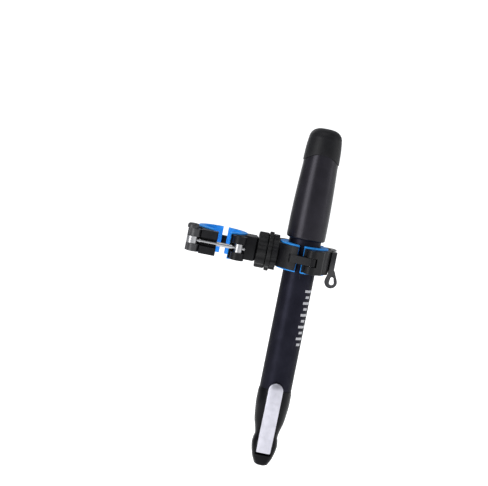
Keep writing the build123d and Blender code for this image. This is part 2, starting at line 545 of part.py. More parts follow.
# the cap's rim: the region above an arch that runs from front to back
arch_centre = SLEEVE_WALL_TOP + CAP_ARCH_RISE - CAP_ARCH_RADIUS
arch = Pos(PUMP_OFFSET, 0, arch_centre) * Rot(90, 0, 0) * Cylinder(CAP_ARCH_RADIUS, REACH)
seat_height = 2 * (HANDLE_TOP - SLEEVE_WALL_TOP)
cap_seat = Pos(PUMP_OFFSET, 0, SLEEVE_WALL_TOP + seat_height / 4) * (
    Cylinder(2 * CAP_SEAT_RADIUS, seat_height) - Cylinder(CAP_SEAT_RADIUS, seat_height)) - arch

with BuildPart() as handle_sleeve:
    with BuildSketch(PUMP_PROFILE) as sleeve_section:
        with BuildLine() as sleeve_edge:
            swell_length = BARREL_TOP - SLEEVE_BOTTOM
            l1 = Line((SLEEVE_BORE, SLEEVE_BOTTOM), (SLEEVE_BORE + 1.2, SLEEVE_BOTTOM))
            l2 = ThreePointArc(l1 @ 1, (SLEEVE_BORE + 1.85, SLEEVE_BOTTOM + 0.5),
                               (SLEEVE_BORE + 2.1, SLEEVE_BOTTOM + 1.5))
            l3 = Spline(l2 @ 1, (SLEEVE_BORE + 2.05, SLEEVE_BOTTOM + 0.3 * swell_length),
                        (SLEEVE_BORE + 1.5, SLEEVE_BOTTOM + 0.71 * swell_length),
                        (SLEEVE_BORE + 0.7, BARREL_TOP + 2.0), tangents=((0, 1), (-0.01, 1)))
            l4 = Polyline(l3 @ 1, (SLEEVE_BORE + 0.6, SOCKET_TOP), (PLUG_RADIUS, SOCKET_TOP),
                          (PLUG_RADIUS, PLUG_BOTTOM), (SLEEVE_BORE, PLUG_BOTTOM), l1 @ 0)
        make_face()
    revolve(axis=PUMP_AXIS)
    with BuildSketch(PUMP.offset(SLEEVE_BOTTOM + 1.0)) as bush_seat:
        Circle(SLEEVE_BORE + BUSH_THICKNESS)
    extrude(amount=BUSH_HEIGHT, mode=Mode.SUBTRACT)
    add(cap_seat, mode=Mode.SUBTRACT)
save(handle_sleeve, "handle_sleeve")

with BuildPart() as handle_bush:
    ring(PUMP, SLEEVE_BORE + BUSH_THICKNESS, BARREL_RADIUS + RUNNING, SLEEVE_BOTTOM + 1.0,
         SLEEVE_BOTTOM + 1.0 + BUSH_HEIGHT)
save(handle_bush, "handle_bush")

with BuildPart() as end_cap:
    with BuildSketch(PUMP_PROFILE) as cap_section:
        with BuildLine() as cap_edge:
            c1 = Line((CAP_SEAT_RADIUS, SLEEVE_WALL_TOP - 1), (CAP_SEAT_RADIUS + 1.0, SLEEVE_WALL_TOP - 1))
            c2 = Spline(c1 @ 1, (CAP_SEAT_RADIUS + 0.6, SLEEVE_WALL_TOP + 7),
                        (CAP_SEAT_RADIUS - 0.2, HANDLE_TOP - 7), tangents=((0, 1), (-0.12, 1)))
            c3 = ThreePointArc(c2 @ 1, (CAP_SEAT_RADIUS - 1.7, HANDLE_TOP - 2.6),
                               (CAP_SEAT_RADIUS - 5.4, HANDLE_TOP - 0.6))
            c4 = Spline(c3 @ 1, (0, HANDLE_TOP), tangents=((-1, 0.2), (-1, 0)))
            c5 = Polyline(c4 @ 1, (0, HANDLE_TOP - 3.5), (CAP_SEAT_RADIUS - 3.9, HANDLE_TOP - 3.5),
                          (CAP_SEAT_RADIUS - 1.9, SOCKET_TOP), (CAP_SEAT_RADIUS, SOCKET_TOP), c1 @ 0)
        make_face()
    revolve(axis=PUMP_AXIS)
    add(arch, mode=Mode.SUBTRACT)
save(end_cap, "end_cap")

# ---------------------------------------------------------------- head
with BuildPart() as head_body:
    with BuildSketch(PUMP_PROFILE) as head_section:
        with BuildLine() as head_edge:
            h1 = Polyline((0, SPIGOT_TOP), (BORE_RADIUS, SPIGOT_TOP), (BORE_RADIUS, BARREL_BOTTOM),
                          (BARREL_RADIUS + 0.2, BARREL_BOTTOM))
            h2 = Spline(h1 @ 1, (HEAD_RADIUS, BARREL_BOTTOM - 8), (HEAD_RADIUS - 1.5, BARREL_BOTTOM - 24),
                        (NECK_HALF_WIDTH, BARREL_BOTTOM - 34), tangents=((0.2, -1), (-0.15, -1)))
            h3 = Polyline(h2 @ 1, (NECK_HALF_WIDTH, BARREL_BOTTOM - 37), (0, BARREL_BOTTOM - 37), h1 @ 0)
        make_face()
    revolve(axis=PUMP_AXIS)
    front = Plane(origin=(PUMP_OFFSET, HOUSING_FRONT, 0), x_dir=(1, 0, 0), z_dir=(0, -1, 0))
    with BuildSketch(front) as housing:
        with BuildLine() as housing_edge:
            housing_top = BARREL_BOTTOM - 34.5
            right = Spline((HOUSING_SIDE, housing_top), (9.3, housing_top - 6), (8.0, housing_top - 12.5),
                           (4.9, HEAD_BOTTOM + 1.8), (HOUSING_FOOT, HEAD_BOTTOM))
            mirror(right, about=Plane.YZ)
            Line((HOUSING_SIDE, housing_top), (-HOUSING_SIDE, housing_top))
            Line((HOUSING_FOOT, HEAD_BOTTOM), (-HOUSING_FOOT, HEAD_BOTTOM))
        make_face()
    extrude(amount=HOUSING_FRONT - HOUSING_BACK)
    fillet(head_body.faces().filter_by(Axis.Y).sort_by(Axis.Y)[0].edges(), HOUSING_ROUNDING)
    fillet(head_body.faces().filter_by(Axis.Y).sort_by(Axis.Y)[-1].edges(), HOUSING_ROUNDING)
    back = Plane(origin=(PUMP_OFFSET, HOUSING_BACK, PORT_Z), x_dir=(-1, 0, 0), z_dir=(0, 1, 0))
    disc(back, (0, 0), CHUCK_NECK_RADIUS, -ROOT_OVERLAP, CHUCK_NECK_LENGTH)
    # port bore, cam chamber and the thumb lever's slot
    plunger_face = PIVOT_Y + THUMB_CAM_RADIUS + PLUNGER_GAP
    disc(back, (0, 0), PORT_BORE, plunger_face - HOUSING_BACK - FACE, CHUCK_NECK_LENGTH,
         mode=Mode.SUBTRACT)
    across = Plane(origin=(PUMP_OFFSET, PIVOT_Y, PIVOT_Z), x_dir=(0, 1, 0), z_dir=(1, 0, 0))
    slot_half = THUMB_HALF_WIDTH + SIDE
    hub_room = THUMB_CAM_RADIUS + THUMB_CAM_THROW + HUB_ROOM
    disc(across, (0, 0), hub_room, -slot_half, slot_half, mode=Mode.SUBTRACT)
    block(across, -REACH, 0, -hub_room, 14, -slot_half, slot_half, mode=Mode.SUBTRACT)
    disc(across, (0, 0), LEVER_PIN_RADIUS, -LEVER_PIN_HALF_LENGTH, LEVER_PIN_HALF_LENGTH, mode=Mode.SUBTRACT)
    disc(PUMP, (0, DUCT_Y), DUCT_RADIUS, PORT_Z, SPIGOT_TOP, mode=Mode.SUBTRACT)
    with BuildSketch(PUMP.offset(BARREL_BOTTOM + SEAL_OFFSET)) as seal_groove:
        Circle(BORE_RADIUS)
        Circle(BORE_RADIUS - SEAL_DEPTH, mode=Mode.SUBTRACT)
    extrude(amount=SEAL_HEIGHT, mode=Mode.SUBTRACT)
save(head_body, "head_body")

with BuildPart() as barrel_seal:
    ring(PUMP, BORE_RADIUS, BORE_RADIUS - SEAL_DEPTH, BARREL_BOTTOM + SEAL_OFFSET,
         BARREL_BOTTOM + SEAL_OFFSET + SEAL_HEIGHT)
save(barrel_seal, "barrel_seal")

with BuildPart() as check_valve:
    disc(PUMP, (0, DUCT_Y), DUCT_RADIUS, SPIGOT_TOP - 3.0, SPIGOT_TOP)
    disc(PUMP, (0, DUCT_Y), VALVE_RADIUS, SPIGOT_TOP, SPIGOT_TOP + 0.9)
save(check_valve, "check_valve")

# ---------------------------------------------------------------- valve lock
with BuildPart() as thumb_lever:
    side = Plane(origin=(PUMP_OFFSET, 0, 0), x_dir=(0, 1, 0), z_dir=(1, 0, 0))
    inner_top = -HEAD_RADIUS - 0.5
    outer_top = inner_top - THUMB_THICKNESS
    with BuildSketch(side.offset(-THUMB_HALF_WIDTH)) as arm:
        with BuildLine() as arm_edge:
            a1 = Line((outer_top, THUMB_TOP - 0.2), (inner_top, THUMB_TOP - 0.2))
            a2 = Spline(a1 @ 1, (inner_top, BARREL_BOTTOM - 12), (HOUSING_FRONT, BARREL_BOTTOM - 28),
                        (PIVOT_Y - 1.2, PIVOT_Z + 3.4), tangents=((0, -1), (0.5, -1)))
            a3 = Line(a2 @ 1, (PIVOT_Y - THUMB_CAM_RADIUS + 0.2, PIVOT_Z - 1.0))
            a4 = Spline(a3 @ 1, (HOUSING_FRONT - 2.4, BARREL_BOTTOM - 28), (outer_top, BARREL_BOTTOM - 10),
                        a1 @ 0, tangents=((-0.1, 1), (0, 1)))
        make_face()
    extrude(amount=2 * THUMB_HALF_WIDTH)
    face_on = Plane(origin=(PUMP_OFFSET, 0, 0), x_dir=(1, 0, 0), z_dir=(0, -1, 0))
    arch_z = THUMB_TOP - THUMB_HALF_WIDTH
    with BuildSketch(face_on.offset(-REACH / 2)) as face_outline:
        with Locations((0, (arch_z + HEAD_BOTTOM) / 2)):
            Rectangle(2 * THUMB_HALF_WIDTH, arch_z - HEAD_BOTTOM)
        with Locations((0, arch_z)):
            Circle(THUMB_HALF_WIDTH)
    extrude(amount=REACH, mode=Mode.INTERSECT)
    hub = Plane(origin=(PUMP_OFFSET, PIVOT_Y, PIVOT_Z), x_dir=(0, 1, 0), z_dir=(1, 0, 0))
    disc(hub, (0, -THUMB_CAM_THROW), THUMB_CAM_RADIUS, -THUMB_HALF_WIDTH, THUMB_HALF_WIDTH)
    disc(hub, (0, 0), LEVER_PIN_RADIUS + SLIDING, -THUMB_HALF_WIDTH, THUMB_HALF_WIDTH,
         mode=Mode.SUBTRACT)
save(thumb_lever, "thumb_lever")

with BuildPart() as lever_pin:
    disc(hub, (0, 0), LEVER_PIN_RADIUS, -LEVER_PIN_HALF_LENGTH, LEVER_PIN_HALF_LENGTH)
save(lever_pin, "lever_pin")

into_port = Plane(origin=(PUMP_OFFSET, PIVOT_Y + THUMB_CAM_RADIUS + PLUNGER_GAP, PORT_Z),
                  x_dir=(-1, 0, 0), z_dir=(0, 1, 0))
with BuildPart() as plunger:
    disc(into_port, (0, 0), PORT_BORE - RUNNING, 0, PLUNGER_LENGTH)
save(plunger, "plunger")

CORE_START = PLUNGER_LENGTH + PLUNGER_TRAVEL + CORE_GAP
with BuildPart() as chuck_core:
    ring(into_port, PORT_BORE - SLIDING, CORE_HOLE_RADIUS, CORE_START, CORE_START + CORE_THICKNESS)
save(chuck_core, "chuck_core")

GROMMET_START = CORE_START + CORE_THICKNESS
# the grommet ends against the nut's lip
GROMMET_END = HOUSING_BACK + CHUCK_NECK_LENGTH + FACE - into_port.origin.Y
with BuildPart() as grommet:
    ring(into_port, PORT_BORE - SLIDING, PORT_RADIUS, GROMMET_START, GROMMET_END)
save(grommet, "grommet")

with BuildPart() as chuck_nut:
    ring(back, CHUCK_NUT_RADIUS, CHUCK_NECK_RADIUS + SLIDING, FACE, CHUCK_NUT_LENGTH)
    ring(back, CHUCK_NUT_RADIUS, PORT_RADIUS, CHUCK_NECK_LENGTH + FACE, CHUCK_NUT_LENGTH)
    with BuildSketch(back.offset(FACE)) as grips:
        with PolarLocations(CHUCK_NUT_RADIUS + 0.5, CHUCK_GRIPS):
            Circle(CHUCK_GRIP_RADIUS)
    extrude(amount=CHUCK_NUT_LENGTH, mode=Mode.SUBTRACT)
save(chuck_nut, "chuck_nut")
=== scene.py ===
# %% [markdown]
# # A mini pump in its seat-post bracket
# The object is a slim hand pump. One quick-release clamp holds its barrel, a second one grips a
# seat post, and a swivel joins the two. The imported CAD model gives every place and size. These
# cells give it its looks: turned and lofted surfaces, softened edges and procedural materials.

import json

import bmesh
import bpy
import numpy as np
from mathutils import Matrix, Vector


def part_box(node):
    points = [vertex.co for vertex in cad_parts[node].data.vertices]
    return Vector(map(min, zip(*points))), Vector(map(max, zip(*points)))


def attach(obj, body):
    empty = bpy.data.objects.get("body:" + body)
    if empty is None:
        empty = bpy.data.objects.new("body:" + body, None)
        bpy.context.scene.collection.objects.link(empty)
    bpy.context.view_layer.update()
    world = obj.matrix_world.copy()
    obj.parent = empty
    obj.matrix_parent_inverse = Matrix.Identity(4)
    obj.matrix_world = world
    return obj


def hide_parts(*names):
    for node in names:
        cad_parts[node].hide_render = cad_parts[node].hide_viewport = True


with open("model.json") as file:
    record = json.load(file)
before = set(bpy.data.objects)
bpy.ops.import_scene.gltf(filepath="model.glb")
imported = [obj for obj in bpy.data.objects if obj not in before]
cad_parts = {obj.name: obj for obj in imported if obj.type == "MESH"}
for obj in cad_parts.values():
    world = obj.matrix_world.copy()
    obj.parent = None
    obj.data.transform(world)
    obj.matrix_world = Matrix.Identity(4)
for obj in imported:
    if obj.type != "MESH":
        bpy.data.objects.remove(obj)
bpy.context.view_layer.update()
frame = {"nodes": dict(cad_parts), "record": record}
MM = 0.001
BODY_OF = {node: body for body, nodes in frame["record"]["behaviour"]["bodies"].items() for node in nodes}
SLOT_OF = {entry["node"]: entry["material_slot"] for entry in frame["record"]["subparts"]}

# %% [markdown]
# ## Where things are
# The pump's axis is the middle of the barrel, and the bracket's swivel lies on the line y = 0,
# z = 0. Places that a CAD node gives are read from it. Swells, arches and other free curves are
# written here, in the same millimetres.

# %% Places read from the frame
barrel_low, barrel_high = (np.array(corner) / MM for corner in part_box("barrel"))
PUMP_X = (barrel_low[0] + barrel_high[0]) / 2
BARREL_RADIUS = (barrel_high[0] - barrel_low[0]) / 2
print("pump axis at x =", round(PUMP_X, 2), "mm, barrel radius", round(BARREL_RADIUS, 2), "mm")

# %% [markdown]
# ## Shader maths in plain Python
# A material is easier to read as arithmetic than as a web of nodes. `Value` wraps one output
# socket, and each operator adds one Math node. `Finish` holds a material and has one method that
# makes any other node.

# %% Shader helpers
class Value:
    """An output socket that adds Math nodes when it is used in arithmetic."""

    def __init__(self, finish, socket):
        self.finish = finish
        self.socket = socket

    def math(self, operation, *others):
        """One Math node on this value and up to two more."""
        return self.finish.node("ShaderNodeMath", {"operation": operation}, [self, *others])

    def __add__(self, other):
        return self.math("ADD", other)

    def __sub__(self, other):
        return self.math("SUBTRACT", other)

    def __rsub__(self, other):
        return self.finish.node("ShaderNodeMath", {"operation": "SUBTRACT"}, [other, self])

    def __mul__(self, other):
        return self.math("MULTIPLY", other)

    def __truediv__(self, other):
        return self.math("DIVIDE", other)

    def __lt__(self, other):
        return self.math("LESS_THAN", other)

    def __gt__(self, other):
        return self.math("GREATER_THAN", other)

    __radd__ = __add__
    __rmul__ = __mul__

    def step(self, low, high):
        """Rises from 0 at low to 1 at high, smoothly."""
        settings = {"interpolation_type": "SMOOTHSTEP"}
        inputs = {"Value": self, "From Min": low, "From Max": high}
        return self.finish.node("ShaderNodeMapRange", settings, inputs)


class Finish:
    """A procedural material: constants sit on the shader, and maps feed it through feed()."""

    def __init__(self, name, **constants):
        self.material = bpy.data.materials.new(name)
        self.material.use_nodes = True
        self.tree = self.material.node_tree
        self.shader = self.tree.nodes["Principled BSDF"]
        for socket, value in constants.items():
            self.shader.inputs[socket.replace("_", " ")].default_value = value
        coordinates = self.node("ShaderNodeTexCoord", {}, {}, output="Object")
        self.place = coordinates
        parts = self.node("ShaderNodeSeparateXYZ", {}, {"Vector": coordinates}, output=None)
        self.x, self.y, self.z = (Value(self, socket) for socket in parts.outputs)

    def node(self, kind, settings, inputs, output=0):
        """Make a node: settings first, then its inputs, and return one output (or the node)."""
        made = self.tree.nodes.new(kind)
        for name, value in settings.items():
            setattr(made, name, value)
        pairs = inputs.items() if isinstance(inputs, dict) else enumerate(inputs)
        for key, value in pairs:
            if isinstance(value, Value):
                self.tree.links.new(value.socket, made.inputs[key])
            else:
                made.inputs[key].default_value = value
        return made if output is None else Value(self, made.outputs[output])

    def noise(self, size, detail=3.0, stretch=(1, 1, 1), roughness=0.55):
        """Noise from 0 to 1 whose blotches are about size millimetres across."""
        where = self.node("ShaderNodeMapping", {"vector_type": "POINT"},
                          {"Vector": self.place, "Scale": stretch})
        inputs = {"Vector": where, "Scale": 1 / (size * MM), "Detail": detail, "Roughness": roughness}
        return self.node("ShaderNodeTexNoise", {"noise_dimensions": "3D"}, inputs)

    def grains(self, size):
        """Cell distances, for moulded grain and speckle about size millimetres across."""
        inputs = {"Vector": self.place, "Scale": 1 / (size * MM)}
        return self.node("ShaderNodeTexVoronoi", {"feature": "F1"}, inputs)

    def mix(self, factor, first, second):
        """A colour that goes from first to second as factor goes from 0 to 1."""
        def as_input(colour):
            return colour if isinstance(colour, Value) else (*colour, 1.0)
        inputs = {0: factor, 6: as_input(first), 7: as_input(second)}
        return self.node("ShaderNodeMix", {"data_type": "RGBA"}, inputs, output=2)

    def feed(self, **maps):
        """Link maps to the shader's varying sockets."""
        for socket, value in maps.items():
            self.tree.links.new(value.socket, self.shader.inputs[socket.replace("_", " ")])

    def bump(self, height, depth):
        """Raise the surface by depth millimetres where height is 1."""
        inputs = {"Height": height, "Distance": depth * MM, "Strength": 1.0}
        self.feed(Normal=self.node("ShaderNodeBump", {}, inputs))


# %% [markdown]
# ## Anodised aluminium
# The barrel and the handle are drawn tube, bead-blasted and then anodised black. The dye leaves a
# slightly violet black, the blasting a fine grain, and handling a few lighter scuffs along the
# tube. The handle has a smoother, glossier skin than the barrel.

# %% Anodised finishes
DYED_METALLIC = 0.55
SCUFFED_METAL = (0.11, 0.11, 0.12)


def anodised(name, colour, roughness, grain_depth, **constants):
    """Dark dyed metal: fine blasted grain, long faint draw lines and sparse scuffs."""
    finish = Finish(name, Metallic=DYED_METALLIC, Specular_IOR_Level=0.2,
                    Specular_Tint=(0.25, 0.25, 0.28, 1), **constants)
    grain = finish.noise(0.12, detail=2)
    clouds = finish.noise(9.0, detail=4)
    draw_lines = finish.noise(0.6, detail=2, stretch=(1, 1, 0.02))
    scuffs = finish.noise(2.2, detail=6, stretch=(1, 1, 0.12), roughness=0.7).step(0.66, 0.74)
    lighter = tuple(1.6 * channel + 0.002 for channel in colour)
    base = finish.mix(clouds.step(0.3, 0.7) * 0.6 + draw_lines * 0.3, colour, lighter)
    worn = finish.mix(scuffs * 0.35, base, SCUFFED_METAL)
    finish.feed(Base_Color=worn, Roughness=roughness + 0.08 * (clouds - 0.5) + 0.05 * grain + 0.08 * scuffs)
    finish.bump(grain + 0.4 * draw_lines, grain_depth)
    return finish, worn


handle_finish, _ = anodised("handle_anodised", (0.009, 0.008, 0.012), 0.3, 0.004,
                            Coat_Weight=0.3, Coat_Roughness=0.3)
barrel_finish, barrel_colour = anodised("barrel_anodised", (0.008, 0.008, 0.013), 0.34, 0.007)
print("anodised finishes:", handle_finish.material.name, barrel_finish.material.name)

# %% [markdown]
# ## The printed bars on the barrel
# A pump's barrel carries a pad-printed graphic. A plain row of bars stands in for it. The
# surface is unrolled in the shader: the angle about the pump's axis times the radius is the
# distance round the tube, and a bar is the place where that distance and z are both in range.

# %% Printed bars
BAR_TOP, BAR_BOTTOM = -19.0, -62.0      # mm along the barrel
BAR_PITCH = 4.3
BAR_SHARE = 0.42                        # of each pitch that is printed
NARROW_BAR, WIDE_BAR_EXTRA = 2.1, 1.5   # half width of one bar, and what every other bar adds
BAR_MIDDLE_ANGLE = -0.62                # radians from +X towards the lever's side
BAR_COLOUR = (0.42, 0.42, 0.44)
around = (barrel_finish.y / MM).math("ARCTAN2", barrel_finish.x / MM - PUMP_X) - BAR_MIDDLE_ANGLE
across = (around * BARREL_RADIUS).math("ABSOLUTE")
height = barrel_finish.z / MM
pitches = (height - BAR_BOTTOM) / BAR_PITCH
along, row = pitches.math("FRACT"), pitches.math("FLOOR")
every_other = (row / 2).math("FRACT") > 0.25
half_width = NARROW_BAR + WIDE_BAR_EXTRA * every_other
inside = (across < half_width) * (along < BAR_SHARE) * (height > BAR_BOTTOM) * (height < BAR_TOP)
speckle = barrel_finish.noise(0.35, detail=4).step(0.28, 0.4)
print_mask = inside * speckle
barrel_finish.feed(Base_Color=barrel_finish.mix(print_mask, barrel_colour, BAR_COLOUR),
                   Metallic=DYED_METALLIC - 0.5 * print_mask)
print("bars printed:", round((BAR_TOP - BAR_BOTTOM) / BAR_PITCH))

# %% [markdown]
# ## Moulded plastic and rubber
# The clamps are glass-filled nylon: nearly black, with short glass fibres that show as a pale
# speckle just under the skin and a fine spark-eroded grain. The head is a smoother plastic. Both
# rubbers are matte; the azure liner has dust-fine bloom and slightly paler high spots.

# %% Moulded finishes
def moulded(name, colour, roughness, grain, depth, fibre=0.0, dust=0.0, **constants):
    """Plastic or rubber: cell grain for the mould's texture, speckled fibres and a dusty bloom."""
    finish = Finish(name, Metallic=0.0, **constants)
    cells = finish.grains(grain)
    clouds = finish.noise(6.0, detail=4)
    fine = finish.noise(grain * 0.6, detail=3)
    strands = finish.noise(0.5, detail=3, stretch=(1, 0.25, 1), roughness=0.7).step(0.62, 0.72)
    paler = tuple(1.5 * channel + 0.002 for channel in colour)
    base = finish.mix(clouds.step(0.25, 0.75), colour, paler)
    fibres = finish.mix(strands * fibre, base, (0.16, 0.155, 0.15))
    bloom = finish.noise(1.4, detail=5).step(0.5, 0.8)
    dusty = finish.mix(bloom * dust, fibres, (0.2, 0.2, 0.21))
    finish.feed(Base_Color=dusty, Roughness=roughness + 0.12 * (clouds - 0.5) + 0.06 * fine)
    finish.bump(0.6 * cells + 0.5 * fine, depth)
    return finish


#                 colour                  roughness  grain  depth  other settings
MOULDED = {
    "clamp_nylon": ((0.003, 0.003, 0.004), 0.38, 0.35, 0.015, {"fibre": 0.05, "Specular_IOR_Level": 0.16}),
    "knob_nylon": ((0.0035, 0.0035, 0.004), 0.42, 0.4, 0.02, {"fibre": 0.05, "Specular_IOR_Level": 0.18}),
    "lever_nylon": ((0.016, 0.016, 0.018), 0.34, 0.3, 0.015, {"fibre": 0.2, "Specular_IOR_Level": 0.45}),
    "head_plastic": ((0.001, 0.001, 0.002), 0.3, 0.25, 0.006, {"Specular_IOR_Level": 0.1}),
    "cap_rubber": ((0.003, 0.003, 0.004), 0.45, 0.3, 0.012, {"dust": 0.02, "Specular_IOR_Level": 0.18}),
    "liner_rubber": ((0.014, 0.23, 0.66), 0.5, 0.25, 0.015, {"dust": 0.05, "Specular_IOR_Level": 0.3}),
    "seal_rubber": ((0.008, 0.008, 0.008), 0.5, 0.3, 0.01, {"Specular_IOR_Level": 0.2}),
    "inner_plastic": ((0.02, 0.02, 0.021), 0.45, 0.3, 0.01, {"Specular_IOR_Level": 0.3}),
}
FINISHES = {"handle_anodised": handle_finish, "barrel_anodised": barrel_finish}
for slot, (*look, settings) in MOULDED.items():
    FINISHES[slot] = moulded(slot, *look, **settings)
print(sorted(FINISHES))

# %% [markdown]
# ## Bright metal
# The thumb lever is die-cast and finished in satin silver, with fine lines along its length. The
# bolts and nuts are turned stainless steel, so their lines run round. The piston rod is chromed.

# %% Bright finishes
def bright(name, colour, roughness, line_size, stretch, depth):
    """Metal with directional tool lines, a little staining and small dings."""
    finish = Finish(name, Metallic=1.0)
    lines = finish.noise(line_size, detail=3, stretch=stretch)
    stains = finish.noise(4.0, detail=5)
    dings = finish.grains(1.8).step(0.04, 0.1)
    darker = tuple(0.72 * channel for channel in colour)
    tone = finish.mix(stains.step(0.25, 0.75) * 0.5 + lines * 0.3, colour, darker)
    finish.feed(Base_Color=tone, Roughness=roughness + 0.12 * (lines - 0.5) + 0.08 * stains)
    finish.bump(lines + 0.5 * dings, depth)
    return finish


#                colour                roughness  line size  stretch  depth
BRIGHT = {
    "lever_silver": ((0.54, 0.535, 0.595), 0.28, 0.25, (1, 1, 0.05), 0.004),
    "stainless": ((0.42, 0.42, 0.43), 0.24, 0.2, (1, 0.15, 0.15), 0.004),
    "rod_steel": ((0.55, 0.55, 0.57), 0.14, 0.3, (1, 1, 0.05), 0.001),
}
for slot, look in BRIGHT.items():
    FINISHES[slot] = bright(slot, *look)
print("bright finishes:", sorted(BRIGHT))

# %% [markdown]
# ## Surfaces from arrays
# A turned piece is a profile carried round an axis. A lofted piece is an outline that changes
# along an axis. Both are one grid of points, so one function turns a grid into a mesh.

# %% Mesh helpers
def grid_faces(rows, columns, wrap_rows):
    """Quads that join each grid point to its neighbours in the next row and column. The last
    column always joins the first."""
    i = np.arange(rows if wrap_rows else rows - 1)[:, None]
    j = np.arange(columns)[None, :]
    corners = [((i + a) % rows) * columns + (j + b) % columns for a, b in ((0, 0), (0, 1), (1, 1), (1, 0))]
    return np.stack([corner.ravel() for corner in np.broadcast_arrays(*corners)], axis=1)


def mesh_from_grid(name, points, wrap_rows=False):
    """A mesh object from a grid of millimetre points shaped (rows, columns, 3), welded and turned
    outwards; doubled points at poles and seams are merged."""
    rows, columns = points.shape[:2]
    mesh = bpy.data.meshes.new(name)
    faces = grid_faces(rows, columns, wrap_rows)
    mesh.from_pydata((points.reshape(-1, 3) * MM).tolist(), [], faces.tolist())
    return clean(add_object(name, mesh))


def add_object(name, mesh):
    """An object at the origin that shows the mesh."""
    thing = bpy.data.objects.new(name, mesh)
    bpy.context.scene.collection.objects.link(thing)
    return thing


def clean(thing, sharp_angle=32.0):
    """Merge doubles, turn the faces outwards and shade smooth up to the sharp angle (degrees)."""
    work = bmesh.new()
    work.from_mesh(thing.data)
    bmesh.ops.remove_doubles(work, verts=work.verts, dist=1e-7)
    bmesh.ops.dissolve_degenerate(work, dist=1e-8, edges=work.edges)
    bmesh.ops.recalc_face_normals(work, faces=work.faces)
    work.to_mesh(thing.data)
    work.free()
    thing.data.shade_smooth()
    thing.data.set_sharp_from_angle(angle=np.radians(sharp_angle))
    return thing


def rounded(corners, steps=6):
    """A closed outline from (a, b, radius) corners: each corner becomes an arc that is tangent to
    both sides. The arc starts radius / tan(half the corner's angle) from the corner."""
    outline = []
    for index, (a, b, radius) in enumerate(corners):
        here = np.array([a, b], float)
        back = np.array(corners[index - 1][:2]) - here
        ahead = np.array(corners[(index + 1) % len(corners)][:2]) - here
        back, ahead = back / np.hypot(*back), ahead / np.hypot(*ahead)
        half = np.arccos(np.clip(back @ ahead, -1, 1)) / 2
        if radius == 0:
            outline.append(here[None])
            continue
        centre = here + (back + ahead) / np.hypot(*(back + ahead)) * radius / np.sin(half)
        first, last = (here + side * radius / np.tan(half) - centre for side in (back, ahead))
        turn = np.linspace(0, 1, steps + 1)[:, None]
        angle = np.pi - 2 * half
        outline.append(centre + (np.sin((1 - turn) * angle) * first + np.sin(turn * angle) * last)
                       / np.sin(angle))
    return np.concatenate(outline)


def spin(profile, centre=(PUMP_X, 0.0, 0.0), axis="z", segments=128):
    """Points of a profile of (radius, height) pairs carried round an axis through centre."""
    angle = np.linspace(0, 2 * np.pi, segments, endpoint=False)
    radius, height = profile[:, 0][:, None], profile[:, 1][:, None]
    first, second = radius * np.cos(angle), radius * np.sin(angle)
    third = np.broadcast_to(height, first.shape)
    order = {"z": (first, second, third), "x": (third, first, second), "y": (first, third, second)}
    return np.stack(order[axis], axis=-1) + np.array(centre)


def stand_for(thing, node):
    """Let a finished piece take a CAD node's place, body and finish."""
    thing.data.materials.clear()
    thing.data.materials.append(FINISHES[SLOT_OF[node]].material)
    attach(thing, BODY_OF[node])
    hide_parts(node)
    print(thing.name, len(thing.data.polygons), "faces")
    return thing


# %% [markdown]
# ## Softened mouldings
# The CAD mouldings have the right shape but knife-sharp edges, and real mouldings and castings
# have small radii that catch the light. A copy of the CAD mesh is welded, its flat triangles are
# joined into whole faces, and a Bevel modifier rounds every edge that turns sharply.

# %% Softened copies of CAD nodes
BEVEL_FROM, SHARP_FROM = 35, 40         # degrees between faces
FLAT_WITHIN = 1.0                       # degrees between triangles of one flat face


def soften(node, radius):
    """A copy of a CAD node with its sharp edges rounded to radius millimetres."""
    piece = add_object(node + "_piece", frame["nodes"][node].data.copy())
    work = bmesh.new()
    work.from_mesh(piece.data)
    bmesh.ops.remove_doubles(work, verts=work.verts, dist=2e-6)
    bmesh.ops.dissolve_limit(work, angle_limit=np.radians(FLAT_WITHIN), verts=work.verts, edges=work.edges)
    work.to_mesh(piece.data)
    work.free()
    bevel = piece.modifiers.new("Rounded edges", "BEVEL")
    bevel.width = radius * MM
    bevel.segments = 3
    bevel.limit_method = "ANGLE"
    bevel.angle_limit = np.radians(BEVEL_FROM)
    bevel.harden_normals = False
    piece.data.shade_smooth()
    piece.data.set_sharp_from_angle(angle=np.radians(SHARP_FROM))
    return stand_for(piece, node)


EDGE_RADIUS = {"clamp_body": 0.5, "clamp_gate": 0.5, "cam_lever": 0.6,
               "body_liner": 0.25, "gate_liner": 0.25, "hinge_pin": 0.2}
for clamp in ("post", "pump"):
    for kind, radius in EDGE_RADIUS.items():
        soften(f"{clamp}_{kind}", radius)

# %% [markdown]
# ## The turned tubes
# The barrel is a plain tube with broken edges. The handle swells towards the hand: its radius
# grows from the top down as a power of the distance, then rounds in at the lower rim.

# %% Barrel and handle sleeve
low, high = barrel_low[2], barrel_high[2]
BARREL_WALL = 1.5
EDGE_BREAK, TOP_BREAK = 0.3, 0.5
bore = BARREL_RADIUS - BARREL_WALL
barrel_profile = rounded([(BARREL_RADIUS, low, EDGE_BREAK), (BARREL_RADIUS, high, TOP_BREAK),
                          (bore, high, EDGE_BREAK), (bore, low, EDGE_BREAK)])
stand_for(mesh_from_grid("barrel_tube", spin(barrel_profile), wrap_rows=True), "barrel")

SLEEVE_TOP_RADIUS, SLEEVE_SWELL = 12.5, 1.4
SWELL_TOP, SWELL_LENGTH = 66.0, 44.0
RIM_INNER, RIM_WIDTH, RIM_HEIGHT = 12.6, 1.3, 1.5
SEAT_START, SEAT_LEVEL, SEAT_RADIUS = 68.4, 76.0, 11.88     # where the rubber cap sits
GRIP_BORE, PLUG_BORE, TOP_BORE = 12.75, 11.8, 11.1          # from the rim upwards
GRIP_END = 21.0


